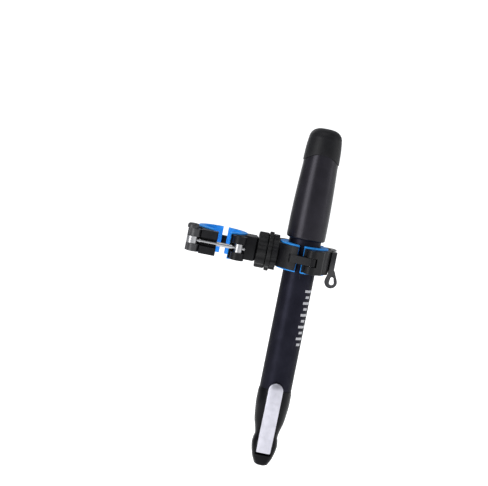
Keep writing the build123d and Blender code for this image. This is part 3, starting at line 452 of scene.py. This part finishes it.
def sleeve_radius(height):
    """Top radius plus the swell, times one less the 1.8th power of how far up the swell it is."""
    up = np.clip((height - (SWELL_TOP - SWELL_LENGTH)) / SWELL_LENGTH, 0, 1)
    return SLEEVE_TOP_RADIUS + SLEEVE_SWELL * (1 - up ** 1.8)


sleeve_low, sleeve_high = (np.array(corner)[2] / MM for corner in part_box("handle_sleeve"))
turn = np.linspace(0, np.pi / 2, 9)[:-1]
rim = np.stack([RIM_INNER + RIM_WIDTH * np.sin(turn), sleeve_low + RIM_HEIGHT * (1 - np.cos(turn))], axis=1)
heights = np.linspace(sleeve_low + RIM_HEIGHT, SWELL_TOP, 48)
side = np.stack([sleeve_radius(heights), heights], axis=1)
seat = np.array([[SLEEVE_TOP_RADIUS, SWELL_TOP + 0.5], [SLEEVE_TOP_RADIUS, SEAT_START],
                 [SEAT_RADIUS, SEAT_LEVEL], [SEAT_RADIUS, sleeve_high - 0.3], [11.6, sleeve_high]])
inside_wall = np.array([[TOP_BORE, sleeve_high], [TOP_BORE, SWELL_TOP], [PLUG_BORE, SWELL_TOP],
                        [PLUG_BORE, GRIP_END], [GRIP_BORE, GRIP_END], [GRIP_BORE, sleeve_low + 0.8],
                        [RIM_INNER, sleeve_low + 0.4]])
sleeve_profile = np.concatenate([rim, side, seat, inside_wall])
sleeve = mesh_from_grid("handle_tube", spin(sleeve_profile), wrap_rows=True)

# %% [markdown]
# ## The rubber end cap
# The cap's rim arches up at the front and the back, so the metal shows as a curved shield. Each
# point's height runs from the rim, which is an arch in x, up to the crown, and its radius follows
# from its height. The sleeve reaches the same arch from below, so nothing shows between them.

# %% End cap
ARCH_RADIUS, ARCH_TOP, ARCH_REACH = 16.75, 74.9, 13
ARCH_CENTRE = ARCH_TOP - ARCH_RADIUS
CAP_TOP = np.array(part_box("end_cap")[1])[2] / MM
SHOULDER_HEIGHT, SHOULDER_RADIUS = 86.0, 11.75
CAP_LOW, CAP_RADIUS, CAP_TAPER = 69.0, 12.95, 0.35
LIP = 0.45
CAP_SEGMENTS = 160


def arch_height(x):
    """Height of the rim's arch at a distance x from the pump's axis: a circle about ARCH_CENTRE."""
    return ARCH_CENTRE + np.sqrt(ARCH_RADIUS ** 2 - np.clip(x, -ARCH_REACH, ARCH_REACH) ** 2)


def cap_radius(height):
    """Side of the cap: it narrows a little in proportion to the height, and then as the cube of
    the height to reach the shoulder's radius."""
    up = np.clip((height - CAP_LOW) / (SHOULDER_HEIGHT - CAP_LOW), 0, 1)
    return CAP_RADIUS - CAP_TAPER * up - (CAP_RADIUS - CAP_TAPER - SHOULDER_RADIUS) * up ** 3


angle = np.linspace(0, 2 * np.pi, CAP_SEGMENTS, endpoint=False)[None, :]
round_cap = np.zeros_like(angle)
rim_height = arch_height(12.9 * np.cos(angle))

# %% [markdown]
# The cap is built as rows from the inside out: its hollow, the lip round the rim, the side, and
# the crown, which is a quarter turn whose sine and cosine are raised to powers to square it.

# %% End cap rows
inner_radius = np.array([0.0, 8.0, 11.95, 11.95])[:, None] + round_cap
inner_height = np.concatenate([np.array([89.5, 89.0, 83.5])[:, None] + round_cap, rim_height + 0.1])
lip_turn = np.linspace(0, np.pi / 2, 5)[:-1][:, None]
lip_radius = cap_radius(rim_height) - LIP * (1 - np.sin(lip_turn))
lip_height = rim_height + LIP * (1 - np.cos(lip_turn)) - 0.02
rise = np.linspace(0, 1, 26)[:, None]
side_height = rim_height + LIP + (SHOULDER_HEIGHT - rim_height - LIP) * rise
side_radius = cap_radius(side_height)
crown_turn = np.linspace(0, np.pi / 2, 22)[1:][:, None]
crown_radius = np.cos(crown_turn) ** 0.62 * SHOULDER_RADIUS + round_cap
crown_height = SHOULDER_HEIGHT + (CAP_TOP - SHOULDER_HEIGHT) * np.sin(crown_turn) ** 1.15 + round_cap
radius_rows = np.concatenate([inner_radius, lip_radius, side_radius, crown_radius])
height_rows = np.concatenate([inner_height, lip_height, side_height, crown_height])
cap_points = np.stack([PUMP_X + radius_rows * np.cos(angle), radius_rows * np.sin(angle), height_rows],
                      axis=-1)
stand_for(mesh_from_grid("rubber_cap", cap_points), "end_cap")
stand_for(sleeve, "handle_sleeve")

# %% [markdown]
# ## The pump head
# The head blends from the round barrel into a deep, narrow housing for the valve chuck. It is a
# loft: at each height the outline is a superellipse with its own half width, front depth, back
# depth and squareness, all smooth curves through a few heights. The lever's slot and the chuck's
# bore are then cut out of it.

# %% Head loft
def smooth(heights, values, at):
    """Catmull-Rom curve: between two points it is the cubic whose slopes are those of the chords
    between each point's two neighbours."""
    heights, values = np.array(heights, float), np.array(values, float)
    slopes = np.gradient(values, heights)
    i = np.clip(np.searchsorted(heights, at) - 1, 0, len(heights) - 2)
    span = heights[i + 1] - heights[i]
    t = (at - heights[i]) / span
    return ((2 * t ** 3 - 3 * t ** 2 + 1) * values[i] + (t ** 3 - 2 * t ** 2 + t) * span * slopes[i]
            + (3 * t ** 2 - 2 * t ** 3) * values[i + 1] + (t ** 3 - t ** 2) * span * slopes[i + 1])


#            height   half width  front  back  squareness
HEAD_SHAPE = np.array([
    (-151.4, 3.6, 7.2, 7.8, 2.6),
    (-150.9, 4.6, 8.3, 8.9, 2.8),
    (-149.3, 5.6, 9.4, 10.0, 3.0),
    (-146.5, 7.0, 10.1, 10.8, 3.2),
    (-143.0, 8.1, 10.3, 11.0, 3.4),
    (-139.5, 8.9, 10.3, 11.0, 3.4),
    (-136.5, 9.25, 10.3, 11.0, 3.2),
    (-133.5, 9.0, 10.1, 11.0, 3.0),
    (-130.0, 8.35, 9.5, 10.8, 2.6),
    (-126.0, 9.0, 9.5, 10.4, 2.25),
    (-120.0, 10.6, 10.4, 10.7, 2.05),
    (-113.0, 11.5, 11.4, 11.5, 2.0),
    (-107.0, 12.05, 12.05, 12.05, 2.0),
    (-102.0, 12.1, 12.1, 12.1, 2.0),
    (-98.0, 11.95, 11.95, 11.95, 2.0),
    (-96.4, 11.7, 11.7, 11.7, 2.0),
])
HEAD_BOTTOM, HEAD_TOP = HEAD_SHAPE[0, 0], HEAD_SHAPE[-1, 0]
HEAD_SEGMENTS = 144
levels = np.linspace(HEAD_BOTTOM, HEAD_TOP, 111)
half_x, front, back, power = (smooth(HEAD_SHAPE[:, 0], column, levels)[:, None]
                              for column in HEAD_SHAPE[:, 1:].T)
angle = np.linspace(0, 2 * np.pi, HEAD_SEGMENTS, endpoint=False)[None, :]
cosine, sine = np.cos(angle), np.sin(angle)
reach = (np.abs(cosine) ** power + np.abs(sine) ** power) ** (-1 / power)
depth = np.where(sine < 0, front, back)
wall = np.stack([PUMP_X + half_x * reach * cosine, depth * reach * sine, levels[:, None] + 0 * angle],
                axis=-1)
foot_middle = np.array([PUMP_X, 0, HEAD_BOTTOM])
bottom = foot_middle + (wall[:1] - foot_middle) * np.array([0, 0.5, 0.85])[:, None, None]
bottom[..., 2] = HEAD_BOTTOM
spigot_profile = np.array([[11.5, -96.0], [10.0, -95.9], [10.0, -91.3], [9.7, -91.0], [0.0, -91.0]])
spigot = spin(spigot_profile, segments=HEAD_SEGMENTS)
head = mesh_from_grid("pump_head", np.concatenate([bottom, wall, spigot]))
print("head loft from", HEAD_BOTTOM, "to", HEAD_TOP, "mm")

# %% [markdown]
# ## Cutting the slot and the bore
# A Boolean modifier cuts each tool from the head, and the result is kept as a plain mesh. The
# slot's tool ends in a half circle round the lever's hub. Its two end faces are fans, each about
# a point from which the whole outline is seen.

# %% Head cuts
def combine(thing, tool, operation="DIFFERENCE"):
    """Cut the tool from the thing or join it on, keep the result and delete the tool."""
    boolean = thing.modifiers.new("Combine", "BOOLEAN")
    boolean.operation, boolean.solver, boolean.object = operation, "EXACT", tool
    bpy.context.view_layer.update()
    kept = bpy.data.meshes.new_from_object(thing.evaluated_get(bpy.context.evaluated_depsgraph_get()))
    thing.modifiers.clear()
    thing.data = kept
    bpy.data.objects.remove(tool)


lever_low, lever_high = (np.array(corner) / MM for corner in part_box("thumb_lever"))
pin_low, pin_high = (np.array(corner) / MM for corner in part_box("lever_pin"))
PIVOT = (pin_low + pin_high) / 2
SLOT_SIDE_GAP = 0.3
SLOT_HALF_WIDTH = (lever_high[0] - lever_low[0]) / 2 + SLOT_SIDE_GAP
HUB_ROOM = 7.3                          # radius of the room round the lever's pin
SLOT_REACH, SLOT_RISE = 20.0, 13.0      # past the head's front, and above the pin
FAN_CENTRE = (-5, 3)                    # y and z from the pin
half_turn = np.linspace(-np.pi / 2, np.pi / 2, 33)
slot_outline = np.concatenate([[(-SLOT_REACH, -HUB_ROOM)],
                               HUB_ROOM * np.stack([np.cos(half_turn), np.sin(half_turn)], axis=1),
                               [(0, SLOT_RISE), (-SLOT_REACH, SLOT_RISE)]])
slot_sides = np.array([-SLOT_HALF_WIDTH, SLOT_HALF_WIDTH])
slot_points = np.stack(np.broadcast_arrays(PUMP_X + slot_sides[:, None], PIVOT[1] + slot_outline[:, 0],
                                           PIVOT[2] + slot_outline[:, 1]), axis=-1)
ends = slot_points * (1, 0, 0) + np.array([0, PIVOT[1] + FAN_CENTRE[0], PIVOT[2] + FAN_CENTRE[1]])
combine(head, mesh_from_grid("slot_tool", np.concatenate([ends[:1], slot_points, ends[1:]])))

core_low, core_high = (np.array(corner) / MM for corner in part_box("grommet"))
PORT_CENTRE = np.array([PUMP_X, 0, (core_low[2] + core_high[2]) / 2])
CHUCK_BORE, BORE_START, BORE_END = 5.6, -1.0, 14.0
bore_profile = np.array([[0, BORE_START], [CHUCK_BORE, BORE_START], [CHUCK_BORE, BORE_END], [0, BORE_END]])
combine(head, mesh_from_grid("bore_tool", spin(bore_profile, PORT_CENTRE, axis="y", segments=96)))
stand_for(clean(head, 30), "head_body")
rims = head.modifiers.new("Broken edges", "BEVEL")
rims.width, rims.segments, rims.limit_method, rims.angle_limit = 0.25 * MM, 2, "ANGLE", np.radians(40)

# %% [markdown]
# ## The thumb lever
# Seen from the front, the lever is all the points within a half width of its middle line: round at
# the top, and at the foot a superellipse of the eighth power, which is nearly square. Rings of
# points run out over the crowned front face, round the rim and back over the inner face.
# Front and inner faces follow two smooth curves, y as a function of z. The hub below is a cam
# with squared front corners, and the two are joined into one mesh.

# %% Thumb lever
LEVER_HALF = (lever_high[0] - lever_low[0]) / 2
LEVER_TOP = lever_high[2]
LEVER_FOOT = -142.3
RIM, CROWN, INNER_ROUND = 0.8, 0.6, 0.4
SIDE_POINTS, FOOT_POWER = 60, 8
middle_top, middle_low = LEVER_TOP - LEVER_HALF, LEVER_FOOT + LEVER_HALF

#                        height  depth (y)
FRONT_CURVE = np.array([(-142, -10.6), (-137, -10.7), (-131, -11.3), (-124, -12.6),
                        (-115, -14.2), (-106, -15.3), (-98, -15.4), (-90, -15.4)])
INNER_CURVE = np.array([(-142, -6.5), (-133, -7.2), (-130, -8.4), (-124, -10.2),
                        (-116, -11.7), (-108, -12.6), (-98, -12.6), (-90, -12.6)])


def front_face(z):
    """Depth of the lever's front face at its middle line."""
    return smooth(*FRONT_CURVE.T, z)


def inner_face(z):
    """Depth of the face that lies on the barrel."""
    return smooth(*INNER_CURVE.T, z)


def stadium(radius):
    """x and z of the points at one distance from the lever's middle line."""
    bend = np.linspace(0, np.pi, 33)
    square = (np.abs(np.cos(bend)) ** FOOT_POWER + np.sin(bend) ** FOOT_POWER) ** (-1 / FOOT_POWER)
    foot = radius * square
    down = np.linspace(middle_top, middle_low, SIDE_POINTS)[1:-1]
    straight = np.full_like(down, radius)
    x = np.concatenate([radius * np.cos(bend), -straight, -foot * np.cos(bend), straight])
    z = np.concatenate([middle_top + radius * np.sin(bend), down,
                        middle_low - foot * np.sin(bend), down[::-1]])
    return x, z


lever_rows = []
for share in np.linspace(0, 1, 7)[:-1]:
    x, z = stadium(max(share, 0.001) * (LEVER_HALF - RIM))
    lever_rows.append(np.stack([PUMP_X + x, front_face(z) + CROWN * share ** 2, z], axis=1))
for turn in np.linspace(0, np.pi / 2, 7):
    x, z = stadium(LEVER_HALF - RIM + RIM * np.sin(turn))
    lever_rows.append(np.stack([PUMP_X + x, front_face(z) + CROWN + RIM * (1 - np.cos(turn)), z], axis=1))
for turn in np.linspace(0, np.pi / 2, 5):
    x, z = stadium(LEVER_HALF - INNER_ROUND * (1 - np.cos(turn)))
    lever_rows.append(np.stack([PUMP_X + x, inner_face(z) - INNER_ROUND * (1 - np.sin(turn)), z], axis=1))
for share in (0.6, 0.001):
    x, z = stadium(share * LEVER_HALF)
    lever_rows.append(np.stack([PUMP_X + x, inner_face(z), z], axis=1))
lever = mesh_from_grid("thumb_lever_blade", np.array(lever_rows))
print("lever blade:", len(lever_rows), "rings")

# %% [markdown]
# The hub is one outline carried across the lever. Near each side it shrinks in steps, which
# rounds its edge, and it closes at its middle. The pin's hole is cut last.

# %% Thumb lever hub
HUB_FRONT, HUB_BACK, HUB_BOTTOM, HUB_TOP = -9.4, -1.25, -142.4, -133.05
HUB_ROUND = 4.4                         # the cam's back corners
PIN_HOLE, PIN_TOOL_REACH = 1.55, 9.0
hub_outline = rounded([(HUB_FRONT, HUB_TOP, 1.0), (HUB_FRONT, HUB_BOTTOM, 0.8),
                       (HUB_BACK, HUB_BOTTOM, HUB_ROUND), (HUB_BACK, HUB_TOP, HUB_ROUND)])
hub_middle = hub_outline.mean(axis=0)
hub_edge = ((0.92, 1), (0.96, 0.985), (0.98, 0.94), (0.98, 0.0))    # share of half width, and of size
hub_rows = []
for across, share in [(-side, size) for side, size in reversed(hub_edge)] + list(hub_edge):
    flat = hub_middle + (hub_outline - hub_middle) * share
    level = np.full(len(flat), PUMP_X + across * LEVER_HALF)
    hub_rows.append(np.stack([level, flat[:, 0], flat[:, 1]], axis=1))
combine(lever, mesh_from_grid("thumb_lever_hub", np.array(hub_rows)), "UNION")
pin_profile = np.array([[0, -PIN_TOOL_REACH], [PIN_HOLE, -PIN_TOOL_REACH],
                        [PIN_HOLE, PIN_TOOL_REACH], [0, PIN_TOOL_REACH]])
pin_centre = (PUMP_X, PIVOT[1], PIVOT[2])
combine(lever, mesh_from_grid("pin_tool", spin(pin_profile, pin_centre, "x", segments=48)))
stand_for(clean(lever, 40), "thumb_lever")

# %% [markdown]
# ## The scalloped knobs
# The lock knob, the detent ring and the chuck's nut are turned by hand, so their rims are
# scalloped. The rim's radius is the full radius less a dip that repeats round the circle: the
# scallop's depth times a cosine, raised to a power that keeps the lobes broad.

# %% Knobs
def sink(points, outline, centre, axis, dip):
    """Move turned points towards their axis (0 for x, 1 for y) by dip millimetres."""
    moved = centre + (points - centre) * (1 - dip / outline[:, 0][:, None])[..., None]
    moved[..., axis] = points[..., axis]
    return moved


LOBES, POINTS_PER_LOBE = 9, 16
LOBE_DIP, KNOB_BORE = 1.4, 8.1
knob_angle = np.linspace(0, 2 * np.pi, LOBES * POINTS_PER_LOBE, endpoint=False)
scallops = LOBE_DIP * (0.5 + 0.5 * np.cos(LOBES * knob_angle)) ** 1.8
for name, node, rounding in (("lock_knob_star", "lock_knob", 1.0), ("detent_star", "detent_ring", 0.7)):
    low_corner, high_corner = (np.array(corner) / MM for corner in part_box(node))
    radius = max(abs(low_corner[1:]).max(), abs(high_corner[1:]).max())
    start, end = low_corner[0], high_corner[0]
    outline = rounded([(KNOB_BORE, start, EDGE_BREAK), (radius, start, rounding),
                       (radius, end, rounding), (KNOB_BORE, end, EDGE_BREAK)], 8)
    outward = np.clip((outline[:, 0] - KNOB_BORE) / (radius - KNOB_BORE), 0, 1)[:, None] ** 3
    turned = spin(outline, (0, 0, 0), "x", segments=LOBES * POINTS_PER_LOBE)
    star = sink(turned, outline, np.zeros(3), 0, outward * scallops)
    stand_for(mesh_from_grid(name, star, wrap_rows=True), node)

# %% [markdown]
# ## The chuck nut
# The nut that holds the valve grommet is knurled for the fingers. It is a thick cup, so its
# outline runs round the rim, down the valve's opening and back along its inner wall.

# %% Chuck nut
nut_low, nut_high = (np.array(corner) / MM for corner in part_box("chuck_nut"))
NUT_RADIUS = (nut_high[2] - nut_low[2]) / 2
NUT_BORE, PORT_RADIUS, NUT_FACE = 6.95, 4.0, 2.4
KNURLS, POINTS_PER_KNURL = 30, 8
KNURL_DEPTH, KNURL_BLEND = 0.45, 0.6
inner_end = nut_high[1] - NUT_FACE
nut_outline = rounded([(NUT_BORE, nut_low[1], 0.2), (NUT_RADIUS, nut_low[1], 0.5),
                       (NUT_RADIUS, nut_high[1], 1.1), (PORT_RADIUS, nut_high[1], 0.6),
                       (PORT_RADIUS, inner_end, 0.2), (NUT_BORE, inner_end, 0.2)])
nut_points = spin(nut_outline, PORT_CENTRE, "y", segments=KNURLS * POINTS_PER_KNURL)
knurl_angle = np.linspace(0, 2 * np.pi, KNURLS * POINTS_PER_KNURL, endpoint=False)
knurl = KNURL_DEPTH * (0.5 + 0.5 * np.cos(KNURLS * knurl_angle)) ** 1.5
near_rim = np.clip((nut_outline[:, 0] - NUT_RADIUS + KNURL_BLEND) / KNURL_BLEND, 0, 1)[:, None]
knurled = sink(nut_points, nut_outline, PORT_CENTRE, 1, near_rim * knurl)
stand_for(mesh_from_grid("chuck_nut_knurled", knurled, wrap_rows=True), "chuck_nut")

# %% [markdown]
# ## Materials for the CAD nodes that stay
# Every node that isn't replaced keeps its CAD mesh and gets the finish of its record slot.

# %% Assign finishes
for node, thing in frame["nodes"].items():
    for slot in thing.material_slots:
        slot.material = FINISHES[SLOT_OF[node]].material
print("finishes assigned to", len(frame["nodes"]), "nodes")

# %% [markdown]
# ## Floor, light and camera
# The bracket leans with the seat post, so level is tilted against the pump. The floor lies square
# to that upright and just below the head, and it glows as painted light, brighter near the object
# than towards the camera. A wide softbox at the left draws the long highlight on the tubes; a
# narrow one at the right and one above trace the edges.

# %% Stage
LEAN = np.radians(11.2)
FLOOR_DROP = 0.172
RIGHT = Vector((np.cos(LEAN), 0, np.sin(LEAN)))
UP = Vector((-np.sin(LEAN), 0, np.cos(LEAN)))
AWAY = Vector((0, 1, 0))
CENTRE = Vector((0.0162, 0, 0.0021))


def stage_frame(origin, x_axis, y_axis):
    """A matrix at origin whose x and y axes are given; z completes it."""
    axes = Matrix((x_axis, y_axis, x_axis.cross(y_axis))).transposed().to_4x4()
    return Matrix.Translation(origin) @ axes


bpy.ops.mesh.primitive_plane_add(size=60)
floor = bpy.context.object
floor.name = "floor"
floor.matrix_world = stage_frame(CENTRE - UP * FLOOR_DROP, RIGHT, AWAY)
paper = Finish("paper_floor", Roughness=0.9, Specular_IOR_Level=0.0, Emission_Strength=1.0)
paper_tone = paper.mix(paper.noise(40.0), (0.88, 0.88, 0.88), (0.9, 0.9, 0.9))
# Painted light: the paper glows like a lit sheet, 0.8 under and behind the object, fading to 0.45 more than
# a metre towards the camera.
painted_floor_glow = paper.mix(paper.y.step(-1.0, -0.15), (0.45, 0.45, 0.46), (0.8, 0.8, 0.8))
paper.feed(Base_Color=paper_tone, Emission_Color=painted_floor_glow)
floor.data.materials.append(paper.material)


def softbox(name, place, size, power):
    """An area light at a (right, away, up) place that faces the middle of the object."""
    lamp = bpy.data.lights.new(name, "AREA")
    lamp.shape, lamp.size, lamp.size_y, lamp.energy = "RECTANGLE", size[0], size[1], power
    thing = bpy.data.objects.new(name, lamp)
    bpy.context.scene.collection.objects.link(thing)
    where = CENTRE + RIGHT * place[0] + AWAY * place[1] + UP * place[2]
    back_axis = (where - CENTRE).normalized()
    side_axis = UP.cross(back_axis).normalized() if abs(back_axis.dot(UP)) < 0.99 else RIGHT
    thing.matrix_world = stage_frame(where, side_axis, back_axis.cross(side_axis))


softbox("key", (-0.85, -0.95, 0.3), (0.6, 1.1), 11)
softbox("edge", (1.15, -0.1, 0.2), (0.2, 0.9), 1.5)
softbox("top", (0.0, -0.35, 1.25), (0.9, 0.6), 4)
softbox("back", (-0.5, 1.2, 0.5), (0.7, 0.9), 3)
world = bpy.data.worlds.new("studio")
world.use_nodes = True
background = world.node_tree.nodes["Background"]
background.inputs["Color"].default_value = (0.9, 0.92, 0.95, 1)
background.inputs["Strength"].default_value = 0.5
bpy.context.scene.world = world
bpy.context.scene.view_settings.view_transform = "Standard"

# %% Camera
ELEVATION = np.radians(6.0)
DISTANCE, WIDTH_IN_VIEW = 1.9, 0.3465
camera_data = bpy.data.cameras.new("camera")
camera_data.sensor_width = 36
camera_data.lens = camera_data.sensor_width * DISTANCE / WIDTH_IN_VIEW
camera = bpy.data.objects.new("camera", camera_data)
bpy.context.scene.collection.objects.link(camera)
backwards = -AWAY * np.cos(ELEVATION) + UP * np.sin(ELEVATION)
camera.matrix_world = stage_frame(CENTRE + backwards * DISTANCE, RIGHT, backwards.cross(RIGHT))
bpy.context.scene.camera = camera
print("lens", round(camera_data.lens, 1), "mm")
